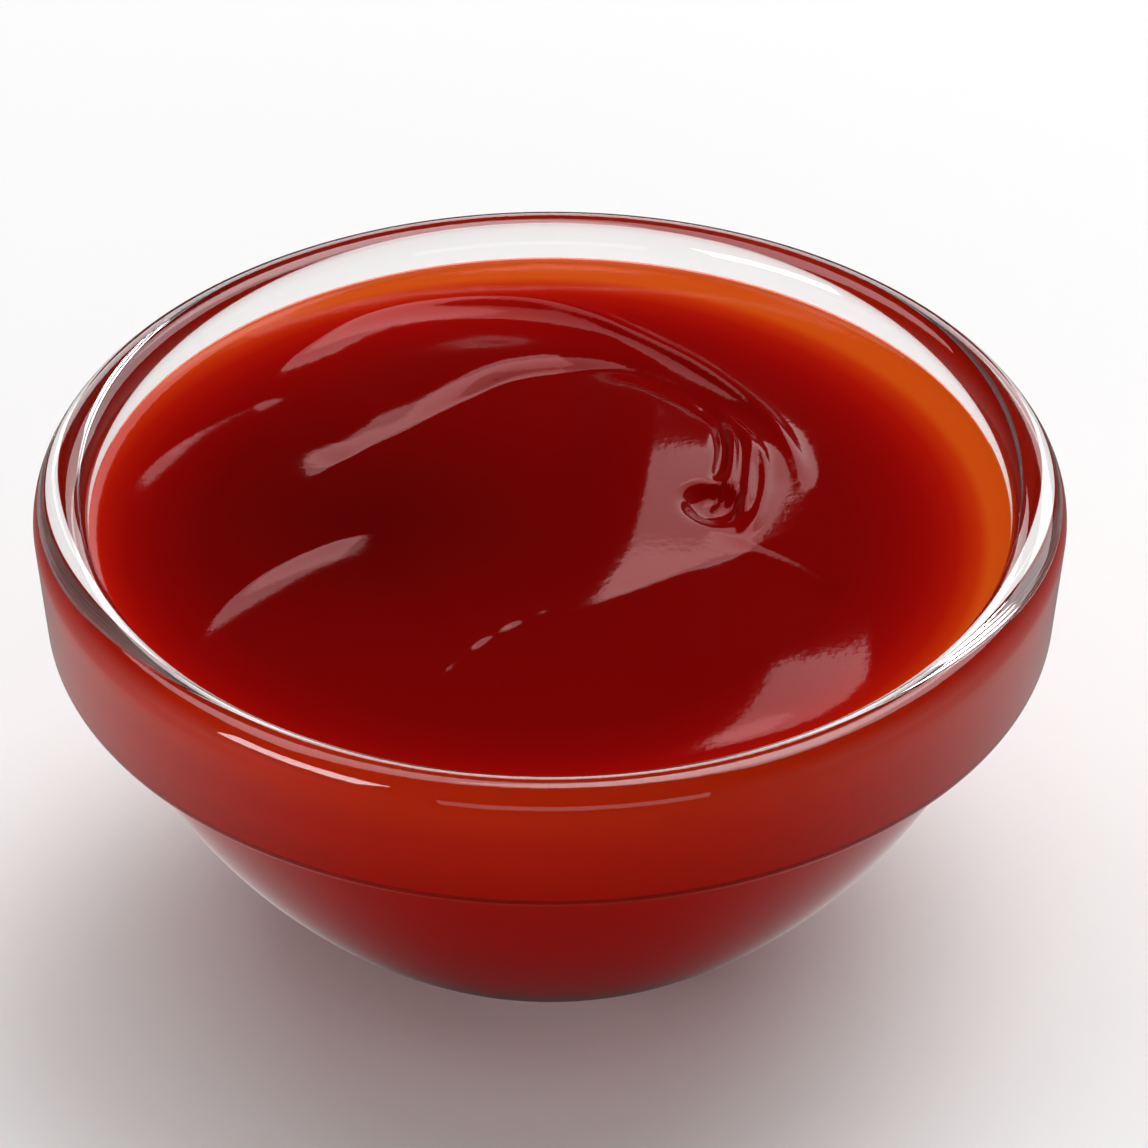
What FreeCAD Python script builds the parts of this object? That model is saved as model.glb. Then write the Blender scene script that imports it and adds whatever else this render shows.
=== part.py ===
"""A small stackable glass bowl filled with hot sauce, swirled with a spoon.

Two pieces: the pressed glass bowl and the sauce in it. Both are turned from a half section drawn
on the XZ plane, with the bowl's axis on Z and its foot on Z = 0. All sizes are in millimetres and
stand in the spreadsheet "sizes". The sauce's top is a smooth surface whose height is worked out
by the swirl functions below.
"""
import FreeCAD, Part

import math
import os

import Sketcher
from FreeCAD import Vector

# ---------------------------------------------------------------------------------------------
# Sizes. Each has a name and one value, and the lines after them are worked out from these.
# ---------------------------------------------------------------------------------------------
SIZES = {
    # the bowl
    "rim_diameter": 75.0,       # over the widest part of the rim
    "bowl_height": 34.0,
    "rim_wall": 4.0,            # the rim is a half round of this thickness
    "band_depth": 8.6,          # from the rim's widest level down to the stacking step
    "band_taper": 0.92,         # how far the band's lower edge draws in
    "nest_gap": 0.38,           # between the body and the rim of the next bowl in a stack
    "body_round": 45.0,         # radius of the body's curve, in section
    "foot_diameter": 32.9,
    "foot_land": 3.2,           # width of the ring that it stands on
    "push_up": 0.8,             # rise of the underside inside that ring
    "base_thickness": 3.8,
    "cavity_round": 46.0,       # radius of the inside curve, in section
    "floor_margin": 1.2,        # how far the flat floor reaches past the foot
    "floor_round": 10.0,
    "edge_round": 0.9,          # the band's lower edge
    "corner_round": 0.6,        # the inner corner under the step
    "foot_round": 1.0,
    # the sauce
    "sauce_drop": 2.7,          # from the rim's top down to the level of the sauce
    "meniscus_rise": 0.6,       # how far the sauce climbs at the glass
    "meniscus_width": 1.6,
    "scrape_height": 1.0,       # bank at the far side, where the spoon first bit in
    "lip_height": 1.5,          # lip inside it, left by the second turn
    "furrow_height": 0.9,       # bank of the furrow at the near left
    "fold_height": 3.0,         # last fold, which ends the swirl
    "swell_height": 1.6,        # lower fold in front of it
}
DERIVED = {
    "rim_radius": "rim_diameter / 2",
    "rim_level": "bowl_height - rim_wall / 2",
    "mouth_radius": "rim_diameter / 2 - rim_wall",
    "band_radius": "rim_diameter / 2 - band_taper",
    "step_level": "bowl_height - rim_wall / 2 - band_depth",
    "nest_radius": "rim_diameter / 2 - rim_wall - nest_gap",
    "nest_level": "bowl_height - rim_wall - band_depth",
    "foot_radius": "foot_diameter / 2",
    "land_radius": "foot_diameter / 2 - foot_land",
    "floor_level": "push_up + base_thickness",
    "floor_radius": "foot_diameter / 2 + floor_margin",
    "sauce_level": "bowl_height - sauce_drop",
}


def make_sheet(doc):
    """Spreadsheet with one named cell for each size."""
    sheet = doc.addObject("Spreadsheet::Sheet", "sizes")
    row = 1
    for name, value in SIZES.items():
        sheet.set("A%d" % row, name)
        sheet.set("B%d" % row, str(value))
        sheet.setAlias("B%d" % row, name)
        row += 1
    for name, formula in DERIVED.items():
        sheet.set("A%d" % row, name)
        sheet.set("B%d" % row, "=" + formula)
        sheet.setAlias("B%d" % row, name)
        row += 1
    doc.recompute()
    return sheet


# ---------------------------------------------------------------------------------------------
# Half sections
# ---------------------------------------------------------------------------------------------
START, END, CENTRE = 1, 2, 3
ORIGIN, UPRIGHT_AXIS = -1, -2


class HalfSection:
    """A closed half section in a body's XZ plane. Points are pinned to cells of the sheet."""

    def __init__(self, body, sheet, name):
        self.sheet = sheet
        self.sketch = body.newObject("Sketcher::SketchObject", name)
        plane = next(f for f in body.Origin.OriginFeatures if f.Role == "XZ_Plane")
        self.sketch.AttachmentSupport = [(plane, "")]
        self.sketch.MapMode = "FlatFace"
        self.points = []        # (curve, which end) in drawing order

    def value(self, cell):
        """The number in a cell, where a cell can also be a plain 0."""
        return float(self.sheet.get(cell)) if cell else 0.0

    def pin(self, curve, which, across, up):
        """Tie a point's distance from the axis and its height to cells; None leaves one free."""
        for kind, cell in (("DistanceX", across), ("DistanceY", up)):
            if cell is None:
                continue
            place = self.value(cell)
            index = self.sketch.addConstraint(
                Sketcher.Constraint(kind, ORIGIN, START, curve, which, place))
            if cell:
                self.sketch.setExpression("Constraints[%d]" % index, "sizes." + cell)

    def line(self, first, last):
        """Straight edge between two points given as pairs of cells; the last one is pinned."""
        ends = [Vector(self.value(p[0]), self.value(p[1]), 0) for p in (first, last)]
        curve = self.sketch.addGeometry(Part.LineSegment(*ends), False)
        self.points.append(((curve, START), (curve, END)))
        self.pin(curve, END, *last)
        return curve

    def arc(self, first, last, radius, turn, pinned=True):
        """Arc between two points. turn is +1 where it runs anticlockwise, else -1."""
        a, b = (Vector(self.value(p[0]), self.value(p[1]), 0) for p in (first, last))
        half = (b - a) * 0.5
        side = Vector(-half.y, half.x, 0).normalize() * turn
        middle = a + half + side * math.sqrt(max(radius ** 2 - half.Length ** 2, 0.0))
        angles = [math.atan2(p.y - middle.y, p.x - middle.x) for p in (a, b)]
        if turn < 0:
            angles.reverse()
        if angles[1] < angles[0]:
            angles[1] += 2 * math.pi
        circle = Part.Circle(middle, Vector(0, 0, 1), radius)
        curve = self.sketch.addGeometry(Part.ArcOfCircle(circle, *angles), False)
        ends = ((curve, START), (curve, END)) if turn > 0 else ((curve, END), (curve, START))
        self.points.append(ends)
        if pinned:
            self.pin(*ends[1], *last)
        return curve

    def fix_radius(self, curve, cell):
        index = self.sketch.addConstraint(
            Sketcher.Constraint("Radius", curve, self.value(cell)))
        self.sketch.setExpression("Constraints[%d]" % index, "sizes." + cell)

    def centre_on_axis(self, curve):
        self.sketch.addConstraint(
            Sketcher.Constraint("PointOnObject", curve, CENTRE, UPRIGHT_AXIS))

    def pass_through(self, curve, across, up):
        """Make a curve run through a point that is given by two cells."""
        place = Vector(self.value(across), self.value(up), 0)
        mark = self.sketch.addGeometry(Part.Point(place), True)
        self.pin(mark, START, across, up)
        self.sketch.addConstraint(
            Sketcher.Constraint("PointOnObject", mark, START, curve))

    def close(self):
        """Join each edge's end to the next one's start."""
        followers = self.points[1:] + self.points[:1]
        for (_, end), (start, _) in zip(self.points, followers):
            self.sketch.addConstraint(Sketcher.Constraint("Coincident", *end, *start))


def revolve(body, section, name):
    """Turn a half section once round the bowl's axis."""
    turned = body.newObject("PartDesign::Revolution", name)
    turned.Profile = section.sketch
    turned.ReferenceAxis = (section.sketch, ["V_Axis"])
    turned.Angle = 360.0
    return turned


def round_ring(body, doc, name, across, up, radius_cell, sheet):
    """Fillet the circular edge at a radius and a height."""
    doc.recompute()
    base = body.Tip
    edges = []
    for number, edge in enumerate(base.Shape.Edges, start=1):
        if edge.Degenerated or not isinstance(edge.Curve, Part.Circle):
            continue
        curve = edge.Curve
        flat = abs(abs(curve.Axis.z) - 1.0) < 1e-6
        if flat and abs(curve.Radius - across) < 0.01 and abs(curve.Center.z - up) < 0.01:
            edges.append("Edge%d" % number)
    fillet = body.newObject("PartDesign::Fillet", name)
    fillet.Base = (base, edges)
    fillet.Radius = float(sheet.get(radius_cell))
    fillet.setExpression("Radius", "sizes." + radius_cell)
    return fillet


def inside_wall(section):
    """The cavity's curve from the mouth down to the floor, the same for glass and sauce."""
    curve = section.arc(("mouth_radius", "rim_level"), ("floor_radius", "floor_level"),
                        section.value("cavity_round"), -1)
    section.fix_radius(curve, "cavity_round")
    section.line(("floor_radius", "floor_level"), ("", "floor_level"))


# ---------------------------------------------------------------------------------------------
# The glass bowl
# ---------------------------------------------------------------------------------------------
def make_bowl(doc, sheet):
    """Pressed glass: smooth inside, and outside a straight band over a stacking step."""
    body = doc.addObject("PartDesign::Body", "bowl")
    body.Label = "glass_bowl"
    section = HalfSection(body, sheet, "bowl_section")
    value = section.value

    # underside: a shallow dome inside the ring that the bowl stands on
    dome_radius = (value("land_radius") ** 2 + value("push_up") ** 2) / (2 * value("push_up"))
    dome = section.arc(("", "push_up"), ("land_radius", ""), dome_radius, -1)
    section.centre_on_axis(dome)
    section.line(("land_radius", ""), ("foot_radius", ""))

    # body: one curve that clears the next bowl's rim just under the step
    flare = section.arc(("foot_radius", ""), ("nest_radius", "step_level"),
                        value("body_round"), +1, pinned=False)
    section.fix_radius(flare, "body_round")
    section.pass_through(flare, "nest_radius", "nest_level")
    step = section.line(("nest_radius", "step_level"), ("band_radius", "step_level"))
    section.sketch.addConstraint(Sketcher.Constraint("Horizontal", step))

    # band and rim
    section.line(("band_radius", "step_level"), ("rim_radius", "rim_level"))
    rim = section.arc(("rim_radius", "rim_level"), ("mouth_radius", "rim_level"),
                      value("rim_wall") / 2, +1)
    section.pin(rim, CENTRE, None, "rim_level")
    inside_wall(section)
    section.line(("", "floor_level"), ("", "push_up"))
    section.close()
    revolve(body, section, "bowl_turned")
    doc.recompute()

    corner = section.sketch.Geometry[step].StartPoint.x
    step_level = value("step_level")
    rings = (("floor_edge", value("floor_radius"), value("floor_level"), "floor_round"),
             ("band_edge", value("band_radius"), step_level, "edge_round"),
             ("step_corner", corner, step_level, "corner_round"),
             ("foot_edge", value("foot_radius"), 0.0, "foot_round"))
    for name, across, up, radius_cell in rings:
        round_ring(body, doc, name, across, up, radius_cell, sheet)
    return body


# ---------------------------------------------------------------------------------------------
# The sauce's surface. The spoon left two kinds of shape in it: banks along an arc, steep at
# their line and easing away from it, and folds that roll down to a crease at two straight edges.
# Places and radii are shares of the mouth's radius, x to the right and y away. Angles are in
# degrees, anticlockwise from x. Widths and reaches are in millimetres.
# ---------------------------------------------------------------------------------------------
BANKS = (
    {"height": "scrape_height", "centre": (-0.112, 0.168), "radius": 0.677, "growth": 0.0,
     "angles": (-5, 131), "fades": (30, 12), "shares": (0.5, 1.0), "widths": (1.2, 2.8),
     "reach": 9.0, "side": -1},
    {"height": "scrape_height", "centre": (-0.224, -0.224), "radius": 0.784, "growth": 0.0,
     "angles": (122, 146), "fades": (10, 14), "shares": (0.7, 0.7), "widths": (2.5, 2.5),
     "reach": 9.0, "side": -1},
    {"height": "lip_height", "centre": (-0.022, 0.112), "radius": 0.498, "growth": 0.022,
     "angles": (10, 166), "fades": (35, 14), "shares": (0.33, 1.0), "widths": (1.0, 5.0),
     "reach": 7.0, "side": +1},
    {"height": "furrow_height", "centre": (-0.112, -0.616), "radius": 0.655, "growth": 0.067,
     "angles": (128, 163), "fades": (14, 16), "shares": (1.0, 1.0), "widths": (3.0, 3.0),
     "reach": 9.0, "side": -1},
)
FOLDS = (
    {"height": "fold_height", "corner": (0.571, -0.022), "front": -58, "end": -6,
     "front_roll": 11.0, "end_roll": 17.0, "fades": ((90, 7.0, 22.0), (176, 14.0, 26.0))},
    {"height": "swell_height", "corner": (0.683, -0.694), "front": -66, "end": -2,
     "front_roll": 8.0, "end_roll": 12.0, "fades": ((90, 7.0, 18.0), (170, 10.0, 22.0))},
)


def ease(t):
    """0 to 1 with a soft start and a soft end."""
    t = min(max(t, 0.0), 1.0)
    return t * t * (3.0 - 2.0 * t)


def only_inside(distance, softness):
    """The distance where it is positive, 0 where it is negative, with a rounded bend."""
    return 0.5 * (distance + math.hypot(distance, softness))


def along(x, y, angle):
    """How far a place lies in a direction."""
    angle = math.radians(angle)
    return x * math.cos(angle) + y * math.sin(angle)


def bank_height(x, y, mouth, bank):
    """Bank along an arc. Side -1 drops inside the arc, and +1 rises outside it."""
    dx = x / mouth - bank["centre"][0]
    dy = y / mouth - bank["centre"][1]
    first, last = bank["angles"]
    middle = (first + last) / 2
    angle = (math.degrees(math.atan2(dy, dx)) - middle + 180.0) % 360.0 - 180.0 + middle
    radius = bank["radius"] + bank["growth"] * (angle - middle) / 90.0
    distance = only_inside((math.hypot(dx, dy) - radius) * mouth * bank["side"], 0.15)
    part = min(max((angle - first) / (last - first), 0.0), 1.0)
    share = bank["shares"][0] + (bank["shares"][1] - bank["shares"][0]) * part
    width = bank["widths"][0] + (bank["widths"][1] - bank["widths"][0]) * part
    rise = (1.0 - math.exp(-distance / width)) * math.exp(-(distance / bank["reach"]) ** 2)
    fade_in, fade_out = bank["fades"]
    ends = ease((angle - first + fade_in) / fade_in) * ease((last + fade_out - angle) / fade_out)
    return bank["side"] * share * rise * ends


def fold_height(x, y, mouth, fold):
    """Fold that rolls down to a crease at its front edge and at its end, near its corner."""
    dx = x - fold["corner"][0] * mouth
    dy = y - fold["corner"][1] * mouth
    from_front = only_inside(-along(dx, dy, fold["front"]), 0.25)
    from_end = only_inside(-along(dx, dy, fold["end"]), 0.25)
    height = 1.0 - math.exp(-from_front / fold["front_roll"])
    height *= 1.0 - max(0.0, 1.0 - from_end / fold["end_roll"]) ** 2
    for direction, start, stop in fold["fades"]:
        height *= 1.0 - ease((along(dx, dy, direction) - start) / (stop - start))
    return height


def surface_height(x, y, size):
    """Height of the sauce at a place given in millimetres."""
    mouth = size("mouth_radius")
    relief = sum(size(bank["height"]) * bank_height(x, y, mouth, bank) for bank in BANKS)
    relief += sum(size(fold["height"]) * fold_height(x, y, mouth, fold) for fold in FOLDS)
    off_wall = max(mouth - math.hypot(x, y), 0.0)
    climb = size("meniscus_rise") * math.exp(-off_wall / size("meniscus_width"))
    return size("sauce_level") + climb + relief * ease(off_wall / (0.14 * mouth))


def swirl_surface(size):
    """Smooth surface over the mouth, held by a square net of heights."""
    net = 64                    # points along each side
    reach = 1.1 * size("mouth_radius")
    places = [-reach + 2 * reach * i / (net - 1) for i in range(net)]
    poles = [[Vector(x, y, surface_height(x, y, size)) for y in places] for x in places]
    degree = 3
    knots = list(range(net - degree + 1))
    repeats = [degree + 1] + [1] * (len(knots) - 2) + [degree + 1]
    surface = Part.BSplineSurface()
    surface.buildFromPolesMultsKnots(poles, repeats, repeats, knots, knots,
                                     False, False, degree, degree)
    return surface


# ---------------------------------------------------------------------------------------------
# The sauce
# ---------------------------------------------------------------------------------------------
def make_sauce(doc, sheet):
    """Fills the cavity up to the swirled surface."""
    body = doc.addObject("PartDesign::Body", "sauce_blank")
    section = HalfSection(body, sheet, "sauce_section")
    inside_wall(section)
    section.line(("", "floor_level"), ("", "bowl_height"))
    section.line(("", "bowl_height"), ("mouth_radius", "bowl_height"))
    section.line(("mouth_radius", "bowl_height"), ("mouth_radius", "rim_level"))
    section.close()
    revolve(body, section, "sauce_turned")
    round_ring(body, doc, "sauce_floor_edge", section.value("floor_radius"),
               section.value("floor_level"), "floor_round", sheet)
    doc.recompute()

    above = doc.addObject("Part::Feature", "above_sauce")
    face = swirl_surface(section.value).toShape()
    above.Shape = face.extrude(Vector(0, 0, section.value("bowl_height")))

    sauce = doc.addObject("Part::Cut", "sauce_cut")
    sauce.Label = "sauce"
    sauce.Base = body
    sauce.Tool = above
    doc.recompute()
    return sauce


# ---------------------------------------------------------------------------------------------
# Build, check and write
# ---------------------------------------------------------------------------------------------
def check(doc, pieces):
    """Stop if any step of the model failed or a piece isn't one sound solid."""
    failed = [item.Name for item in doc.Objects
              if "Invalid" in item.State or "Error" in item.State]
    if failed:
        raise RuntimeError("failed steps: " + ", ".join(failed))
    for piece in pieces:
        shape = piece.Shape
        if shape.isNull() or not shape.isValid() or len(shape.Solids) != 1:
            raise RuntimeError(piece.Label + " is not one sound solid")


def main():
    doc = FreeCAD.newDocument("hot_sauce_bowl")
    sheet = make_sheet(doc)
    pieces = [make_bowl(doc, sheet), make_sauce(doc, sheet)]
    doc.recompute()
    check(doc, pieces)
    os.makedirs("parts", exist_ok=True)
    for piece in pieces:
        piece.Placement = FreeCAD.Placement()
        piece.Shape.exportStep("parts/%s.step" % piece.Label)
        box = piece.Shape.optimalBoundingBox()
        print("%-12s volume %8.1f mm3, height %.2f to %.2f, width %.2f"
              % (piece.Label, piece.Shape.Volume, box.ZMin, box.ZMax, box.XLength))


main()
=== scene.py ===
# %% [markdown]
# # A small glass bowl of hot sauce
#
# The object is a little pressed glass bowl, of the kind that stacks, filled almost to its rim with
# thick red sauce. A spoon has been turned through the sauce and lifted out, and the surface has
# kept its banks and folds. Two things sell it: clear glass with a heavy rounded rim, and a wet
# surface whose soft highlights show every slope. The frame gives the places and sizes of both
# pieces, so it is loaded first and everything after is worked out from it.

# %% Load the frame
import math

import bpy
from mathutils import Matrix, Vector


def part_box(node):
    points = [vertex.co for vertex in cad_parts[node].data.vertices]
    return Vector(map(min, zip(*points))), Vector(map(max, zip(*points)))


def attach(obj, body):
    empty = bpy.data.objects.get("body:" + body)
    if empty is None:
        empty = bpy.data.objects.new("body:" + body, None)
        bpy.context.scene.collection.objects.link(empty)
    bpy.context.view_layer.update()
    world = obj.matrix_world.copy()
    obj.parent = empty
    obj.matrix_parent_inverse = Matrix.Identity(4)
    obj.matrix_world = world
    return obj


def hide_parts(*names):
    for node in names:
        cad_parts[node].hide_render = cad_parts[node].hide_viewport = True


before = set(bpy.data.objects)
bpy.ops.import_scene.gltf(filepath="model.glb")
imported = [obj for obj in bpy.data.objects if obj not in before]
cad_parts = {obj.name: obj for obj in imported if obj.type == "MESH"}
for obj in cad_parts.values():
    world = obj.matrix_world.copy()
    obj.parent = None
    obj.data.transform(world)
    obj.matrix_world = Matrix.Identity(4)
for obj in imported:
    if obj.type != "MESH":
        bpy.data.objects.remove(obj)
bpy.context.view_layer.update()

MM = 0.001
bowl_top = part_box("glass_bowl")[1]
sauce_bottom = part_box("sauce")[0]
rim_radius = bowl_top.x
bowl_height = bowl_top.z
floor_level = sauce_bottom.z
print(f"bowl {2 * rim_radius / MM:.1f} mm across and {bowl_height / MM:.1f} mm high")
print(f"sauce starts {floor_level / MM:.1f} mm above the table")

# %% [markdown]
# ## The section of the glass
#
# A pressed bowl is round, so its whole shape is in one half section: foot ring, curved body, the
# step that the next bowl's rim sits under, a nearly straight band, a half round rim, and one
# smooth curve inside, where the plunger pressed. It could be drawn point by point, but a section
# made of a few corners, two arcs and rounded corners stays true when a size changes. The finer
# the arcs here, the cleaner the glass bends light, because every flat would show as a glint.

# %% Sizes of the section
rim_wall = 4.0 * MM
band_depth = 8.6 * MM
band_taper = 0.92 * MM
nest_gap = 0.38 * MM
body_round = 45.0 * MM
foot_radius = 16.45 * MM
foot_land = 3.2 * MM
push_up = 0.8 * MM
cavity_round = 46.0 * MM
floor_margin = 1.2 * MM
floor_radius = foot_radius + floor_margin
floor_round = 10.0 * MM
edge_round = 0.9 * MM
corner_round = 0.6 * MM
foot_round = 1.0 * MM

# how many straight pieces each part of the section is drawn with
dome_steps = 10
body_steps = 36
band_steps = 8
rim_steps = 32
inside_steps = 40
floor_steps = 4
floor_bend_steps = 12

rim_level = bowl_height - rim_wall / 2
mouth_radius = rim_radius - rim_wall
step_level = rim_level - band_depth
print(f"glass at the rim {rim_wall / MM:.1f} mm, mouth {2 * mouth_radius / MM:.1f} mm across")


# %% Arcs and rounded corners
def arc_between(start, end, radius, side, steps):
    """Points on an arc from start to end. side is +1 where its centre lies to the left."""
    half = (end - start) / 2
    across = Vector((-half.y, half.x)).normalized() * side
    centre = start + half + across * math.sqrt(max(radius ** 2 - half.length ** 2, 0.0))
    first = math.atan2(*reversed(start - centre))
    turn = 2 * math.asin(min(half.length / radius, 1.0)) * side
    return [centre + radius * Vector((math.cos(a), math.sin(a)))
            for a in (first + turn * i / steps for i in range(steps + 1))]


def walk(points, corner, distance, direction):
    """Walks from a corner along the points. Gives the place reached and the points passed."""
    passed = []
    here = corner
    while True:
        step = (points[here + direction] - points[here]).length
        if step >= distance:
            break
        distance -= step
        here += direction
        passed.append(here)
    return points[here].lerp(points[here + direction], distance / step), passed


def round_corner(points, place, radius, steps=8):
    """Replaces the corner nearest a place with a curve that meets both sides smoothly."""
    corner = min(range(len(points)), key=lambda i: (points[i] - place).length)
    before = (points[corner] - points[corner - 1]).normalized()
    after = (points[corner + 1] - points[corner]).normalized()
    reach = radius * math.tan(before.angle(after) / 2)
    start, passed_back = walk(points, corner, reach, -1)
    end, passed_on = walk(points, corner, reach, +1)
    first = corner - len(passed_back) - 1
    last = corner + len(passed_on) + 1
    out = (points[first + 1] - points[first]).normalized()
    into = (points[last] - points[last - 1]).normalized()
    turn = out.angle(into)
    handle = 4 / 3 * math.tan(turn / 4) * (end - start).length / (2 * math.sin(turn / 2))
    bend = [start, start + out * handle, end - into * handle, end]
    curve = []
    for i in range(steps + 1):
        t = i / steps
        weights = ((1 - t) ** 3, 3 * t * (1 - t) ** 2, 3 * t * t * (1 - t), t ** 3)
        curve.append(sum((p * w for p, w in zip(bend, weights)), Vector((0, 0))))
    return points[:first + 1] + curve + points[last:]


square = [Vector(p) for p in ((0, 0), (1, 0), (1, 1))]
print(f"a rounded corner has {len(round_corner(square, square[1], 0.2)) - 2} points")


# %% Draw the section of the glass
def foot_and_body():
    """From the middle of the underside, over the foot ring and up to the step's corner."""
    ring = Vector((foot_radius - foot_land, 0))
    dome_radius = (ring.x ** 2 + push_up ** 2) / (2 * push_up)
    dome = arc_between(Vector((0, push_up)), ring, dome_radius, -1, dome_steps)
    foot = Vector((foot_radius, 0))
    nest = Vector((mouth_radius - nest_gap, step_level - rim_wall / 2))
    body = arc_between(foot, nest, body_round, +1, body_steps)
    half = (nest - foot) / 2
    centre = foot + half + Vector((-half.y, half.x)).normalized() * math.sqrt(
        body_round ** 2 - half.length_squared)
    reach = math.sqrt(body_round ** 2 - (step_level - centre.y) ** 2)
    corner = Vector((centre.x + reach, step_level))
    return dome + body + [corner], corner


def inside_curve(start, steps):
    """The cavity from a start on its curve down to the flat floor's edge."""
    return arc_between(start, Vector((floor_radius, floor_level)), cavity_round, -1, steps)


def glass_section():
    """The closed half section of the bowl, from the underside round to the floor."""
    lower, corner = foot_and_body()
    band_edge = Vector((rim_radius - band_taper, step_level))
    band_top = Vector((rim_radius, rim_level))
    mouth = Vector((mouth_radius, rim_level))
    half_round = rim_wall / 2 + 1e-9  # a hair over half, so that rounding can't break the arc
    rim = arc_between(band_top, mouth, half_round, +1, rim_steps)
    inside = inside_curve(mouth, inside_steps)
    band = [band_edge.lerp(band_top, i / band_steps) for i in range(band_steps + 1)]
    floor = [Vector((floor_radius * (1 - i / floor_steps), floor_level))
             for i in range(1, floor_steps + 1)]
    points = lower + band + rim[1:] + inside[1:] + floor
    floor_edge = Vector((floor_radius, floor_level))
    points = round_corner(points, floor_edge, floor_round, floor_bend_steps)
    points = round_corner(points, band_edge, edge_round)
    points = round_corner(points, corner, corner_round)
    return round_corner(points, Vector((foot_radius, 0)), foot_round)


bowl_points = glass_section()
print(f"glass section: {len(bowl_points)} points")

# %% [markdown]
# ## A lathe in Geometry Nodes
#
# Both pieces are turned on the same axis, so one node tree does for both: a grid whose rows are
# the points of a section and whose columns go once round. Blender's Spin tool or a Screw modifier
# would also turn a section. The tree is used because the section, the number of steps and the
# finish are plain named inputs, and the sauce's tree can take over where this one ends.


# %% A tree with named inputs
def new_tree(name, inputs):
    """Geometry node tree with a geometry output and the given (name, socket type) inputs."""
    tree = bpy.data.node_groups.new(name, "GeometryNodeTree")
    for label, kind in inputs:
        tree.interface.new_socket(label, in_out="INPUT", socket_type="NodeSocket" + kind)
    tree.interface.new_socket("Geometry", in_out="OUTPUT", socket_type="NodeSocketGeometry")
    return tree, tree.nodes.new("NodeGroupInput"), tree.nodes.new("NodeGroupOutput")


def section_mesh(name, points, marks=None):
    """Section as a chain of points in the XZ plane; marks is one number for each point."""
    mesh = bpy.data.meshes.new(name)
    chain = [(i, i + 1) for i in range(len(points) - 1)]
    mesh.from_pydata([(p.x, 0.0, p.y) for p in points], chain, [])
    mark = mesh.attributes.new("pressed", "FLOAT", "POINT")
    mark.data.foreach_set("value", marks or [0.0] * len(points))
    return bpy.data.objects.new(name, mesh)


bowl_section = section_mesh("bowl_section", bowl_points)
print(f"bowl section: a chain of {len(bowl_section.data.edges)} edges")


# %% Numbers as nodes
class Number:
    """A number that nodes work out: sums on it add Math nodes to its tree."""

    def __init__(self, tree, socket):
        self.tree = tree
        self.socket = socket

    def math(self, operation, *others, clamp=False):
        node = self.tree.nodes.new("ShaderNodeMath")
        node.operation = operation
        node.use_clamp = clamp
        for place, value in zip(node.inputs, (self,) + others):
            if isinstance(value, Number):
                self.tree.links.new(value.socket, place)
            else:
                place.default_value = value
        return Number(self.tree, node.outputs[0])

    def __add__(self, other):
        return self.math("ADD", other)

    def __sub__(self, other):
        return self.math("SUBTRACT", other)

    def __mul__(self, other):
        return self.math("MULTIPLY", other)

    def __truediv__(self, other):
        return self.math("DIVIDE", other)

    def __neg__(self):
        return self * -1.0

    def part_of(self):
        """1 less this number."""
        return -self + 1.0

    def clamped(self):
        return self.math("ADD", 0.0, clamp=True)

    def squared(self):
        return self * self

    def root(self):
        return self.math("SQRT")

    def exp(self):
        return self.math("EXPONENT")

    def ease(self):
        """0 to 1 with a soft start and a soft end."""
        t = self.clamped()
        return t * t * (-(t * 2.0) + 3.0)

    def only_inside(self, softness):
        """Itself where positive and 0 where negative, with a rounded bend between."""
        return (self + (self.squared() + softness ** 2).root()) * 0.5


def split(tree, socket):
    """The three numbers of a vector."""
    node = tree.nodes.new("ShaderNodeSeparateXYZ")
    tree.links.new(socket, node.inputs[0])
    return [Number(tree, out) for out in node.outputs]


def joined(tree, *numbers):
    """A vector made of three numbers."""
    node = tree.nodes.new("ShaderNodeCombineXYZ")
    for number, place in zip(numbers, node.inputs):
        if isinstance(number, Number):
            tree.links.new(number.socket, place)
        else:
            place.default_value = number
    return node.outputs[0]


# %% Reading a section
def read_section(tree, section, row, name, kind):
    """What the section holds under a name at its point number row."""
    read = tree.nodes.new("GeometryNodeInputNamedAttribute")
    read.data_type = kind
    read.inputs["Name"].default_value = name
    look = tree.nodes.new("GeometryNodeSampleIndex")
    look.data_type = kind
    tree.links.new(section, look.inputs["Geometry"])
    tree.links.new(read.outputs["Attribute"], look.inputs["Value"])
    tree.links.new(row.math("ROUND").socket, look.inputs["Index"])
    return look.outputs["Value"]


# %% The end of every tree
def coated(tree, geometry, finish):
    """Makes the geometry real and gives it a material. This is the tree's last node."""
    real = tree.nodes.new("GeometryNodeRealizeInstances")
    tree.links.new(geometry, real.inputs["Geometry"])
    coat = tree.nodes.new("GeometryNodeSetMaterial")
    tree.links.new(real.outputs["Geometry"], coat.inputs["Geometry"])
    tree.links.new(finish, coat.inputs["Material"])
    return coat


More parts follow.
